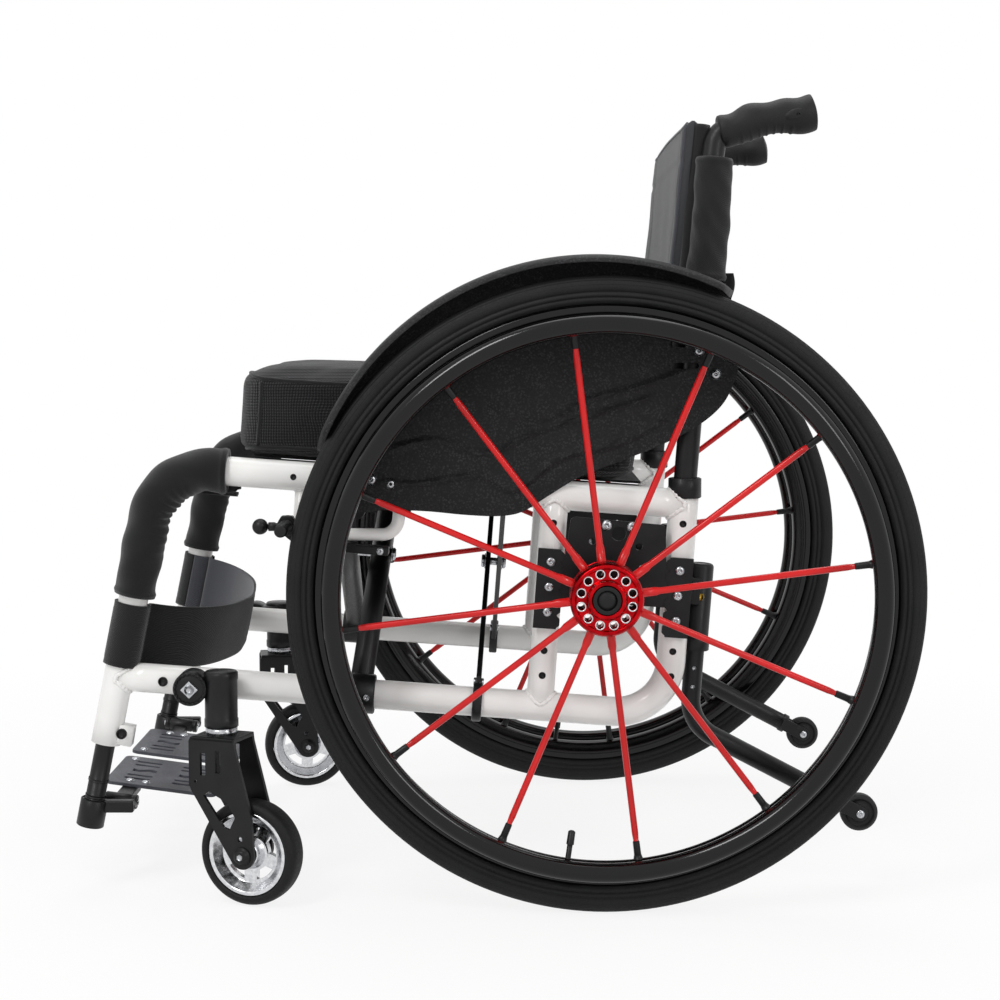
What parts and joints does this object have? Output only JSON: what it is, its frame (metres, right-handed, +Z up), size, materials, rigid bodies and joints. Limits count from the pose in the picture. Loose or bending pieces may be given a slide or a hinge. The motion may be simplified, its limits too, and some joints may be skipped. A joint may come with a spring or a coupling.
{
  "type": "manual wheelchair",
  "caption": "Folding manual wheelchair with spoked rear wheels, forked casters, cushion, side guards, brakes, flip-up footplates and anti-tip rollers.",
  "frame": {"origin": "on the floor at the middle of the chair's bounding box", "axes": "+Y to the chair's rear, +X to the sitter's left, +Z up"},
  "size_m": [0.619, 0.8004, 0.7629],
  "materials": {
    "frame_white": "gloss white powder coat over welded aluminium tube",
    "satin_black": "satin black powder coat",
    "gloss_black": "gloss black anodised and lacquered",
    "red_anodised": "red anodised, turned",
    "spoke_red": "red enamel",
    "tyre_rubber": "moulded, fine grooves",
    "grip_rubber": "moulded, matte",
    "polished_aluminium": "polished",
    "steel": "zinc plated",
    "footplate_grey": "grey powder coat",
    "guard_black": "moulded, speckled grain",
    "neoprene": "neoprene sleeve",
    "webbing": "woven webbing",
    "air_mesh": "spacer mesh knit",
    "nylon": "woven nylon"
  },
  "bodies": {
    "left_frame": {"left_side_frame": "frame_white", "left_axle_plate": "satin_black", "left_axle": "steel", "left_caster_housing": "satin_black", "left_caster_bolt": "steel", "left_footrest_tube": "satin_black", "left_back_cane": "satin_black", "left_push_grip": "grip_rubber", "left_side_guard": "guard_black", "left_brake_bracket": "satin_black", "left_antitip_receiver": "satin_black", "left_knee_sleeve": "neoprene"},
    "left_wheel": {"left_hub": "red_anodised", "left_spokes": "spoke_red", "left_rim": "gloss_black", "left_tyre": "tyre_rubber", "left_handrim": "gloss_black"},
    "left_caster_swivel": {"left_caster_stem": "steel", "left_caster_fork": "satin_black", "left_caster_axle": "satin_black"},
    "left_caster_wheel": {"left_caster_rim": "polished_aluminium", "left_caster_tyre": "tyre_rubber"},
    "left_footplate_body": {"left_footplate": "footplate_grey"},
    "left_brake": {"left_brake_lever": "satin_black"},
    "left_antitip": {"left_antitip_tube": "satin_black"},
    "left_antitip_wheel": {"left_antitip_roller": "grip_rubber"},
    "right_frame": {"right_side_frame": "frame_white", "right_axle_plate": "satin_black", "right_axle": "steel", "right_caster_housing": "satin_black", "right_caster_bolt": "steel", "right_footrest_tube": "satin_black", "right_back_cane": "satin_black", "right_push_grip": "grip_rubber", "right_side_guard": "guard_black", "right_brake_bracket": "satin_black", "right_antitip_receiver": "satin_black", "right_knee_sleeve": "neoprene"},
    "right_wheel": {"right_hub": "red_anodised", "right_spokes": "spoke_red", "right_rim": "gloss_black", "right_tyre": "tyre_rubber", "right_handrim": "gloss_black"},
    "right_caster_swivel": {"right_caster_stem": "steel", "right_caster_fork": "satin_black", "right_caster_axle": "satin_black"},
    "right_caster_wheel": {"right_caster_rim": "polished_aluminium", "right_caster_tyre": "tyre_rubber"},
    "right_footplate_body": {"right_footplate": "footplate_grey"},
    "right_brake": {"right_brake_lever": "satin_black"},
    "right_antitip": {"right_antitip_tube": "satin_black"},
    "right_antitip_wheel": {"right_antitip_roller": "grip_rubber"},
    "left_brace_half": {"left_brace": "satin_black", "front_brace_bolt": "steel", "rear_brace_bolt": "steel"},
    "right_brace_half": {"right_brace": "satin_black"},
    "seat": {"seat_sling": "nylon", "cushion": "air_mesh"},
    "slings": {"backrest": "nylon", "calf_strap": "webbing"}
  },
  "joints": [
    {"name": "fold", "type": "hinge", "parent": "left_frame", "child": "left_brace_half", "pos_m": [0.205, -0.12764, 0.19339], "axis": [0, 0.9974, -0.0715], "range_deg": [0, 38]},
    {"name": "brace_cross", "type": "hinge", "parent": "left_brace_half", "child": "right_brace_half", "pos_m": [0, -0.13659, 0.30633], "axis": [0, 0.9974, -0.0715], "range_deg": [-76.1, 0]},
    {"name": "right_frame_fold", "type": "hinge", "parent": "right_brace_half", "child": "right_frame", "pos_m": [-0.205, -0.16255, 0.19589], "axis": [0, 0.9974, -0.0715], "range_deg": [0, 38.1]},
    {"name": "seat_lift", "type": "slide", "parent": "left_frame", "child": "seat", "axis": [0.5124, 0.0614, 0.8566], "range_m": [0, 0.2199], "deforming": ["seat_sling", "cushion"]},
    {"name": "sling_shift", "type": "slide", "parent": "left_frame", "child": "slings", "axis": [1, 0, 0], "range_m": [0, 0.1129], "deforming": ["backrest", "calf_strap"]},
    {"name": "left_wheel_spin", "type": "hinge", "parent": "left_frame", "child": "left_wheel", "pos_m": [0.27, 0.10522, 0.295], "axis": [1, 0, 0], "continuous": true},
    {"name": "left_caster_swivel_turn", "type": "hinge", "parent": "left_frame", "child": "left_caster_swivel", "pos_m": [0.237, -0.25578, 0.16], "axis": [0, 0, 1], "continuous": true},
    {"name": "left_caster_roll", "type": "hinge", "parent": "left_caster_swivel", "child": "left_caster_wheel", "pos_m": [0.2476, -0.22665, 0.05], "axis": [0.9397, -0.342, 0], "continuous": true},
    {"name": "left_footplate_flip", "type": "hinge", "parent": "left_frame", "child": "left_footplate_body", "pos_m": [0.184, -0.36478, 0.084], "axis": [0, 0.9792, -0.2028], "range_deg": [0, 88.1]},
    {"name": "left_brake_turn", "type": "hinge", "parent": "left_frame", "child": "left_brake", "pos_m": [0.222, -0.16278, 0.331], "axis": [1, 0, 0], "range_deg": [-9, 25]},
    {"name": "left_antitip_slide", "type": "slide", "parent": "left_frame", "child": "left_antitip", "axis": [0, -0.0715, -0.9974], "range_m": [-0.03, 0.02]},
    {"name": "left_antitip_roll", "type": "hinge", "parent": "left_antitip", "child": "left_antitip_wheel", "pos_m": [0.1885, 0.355, 0.07458], "axis": [1, 0, 0], "continuous": true},
    {"name": "right_wheel_spin", "type": "hinge", "parent": "right_frame", "child": "right_wheel", "pos_m": [-0.27, 0.10522, 0.295], "axis": [1, 0, 0], "continuous": true},
    {"name": "right_caster_swivel_turn", "type": "hinge", "parent": "right_frame", "child": "right_caster_swivel", "pos_m": [-0.237, -0.25578, 0.16], "axis": [0, 0, 1], "continuous": true},
    {"name": "right_caster_roll", "type": "hinge", "parent": "right_caster_swivel", "child": "right_caster_wheel", "pos_m": [-0.24185, -0.22516, 0.05], "axis": [0.9877, 0.1564, 0], "continuous": true},
    {"name": "right_footplate_flip", "type": "hinge", "parent": "right_frame", "child": "right_footplate_body", "pos_m": [-0.184, -0.36478, 0.084], "axis": [0, -0.9792, 0.2028], "range_deg": [0, 88.1]},
    {"name": "right_brake_turn", "type": "hinge", "parent": "right_frame", "child": "right_brake", "pos_m": [-0.222, -0.16278, 0.331], "axis": [1, 0, 0], "range_deg": [-9, 25]},
    {"name": "right_antitip_slide", "type": "slide", "parent": "right_frame", "child": "right_antitip", "axis": [0, -0.0715, -0.9974], "range_m": [-0.03, 0.02]},
    {"name": "right_antitip_roll", "type": "hinge", "parent": "right_antitip", "child": "right_antitip_wheel", "pos_m": [-0.1885, 0.355, 0.07458], "axis": [1, 0, 0], "continuous": true}
  ],
  "couplings": [
    {"joint": "brace_cross", "follows": "fold", "ratio": -2},
    {"joint": "right_frame_fold", "follows": "fold", "ratio": 1},
    {"joint": "seat_lift", "follows": "fold", "m_per_rad": 0.33084},
    {"joint": "sling_shift", "follows": "fold", "m_per_rad": 0.16951},
    {"joint": "left_footplate_flip", "follows": "fold", "ratio": 2.3158},
    {"joint": "right_footplate_flip", "follows": "fold", "ratio": 2.3158}
  ]
}
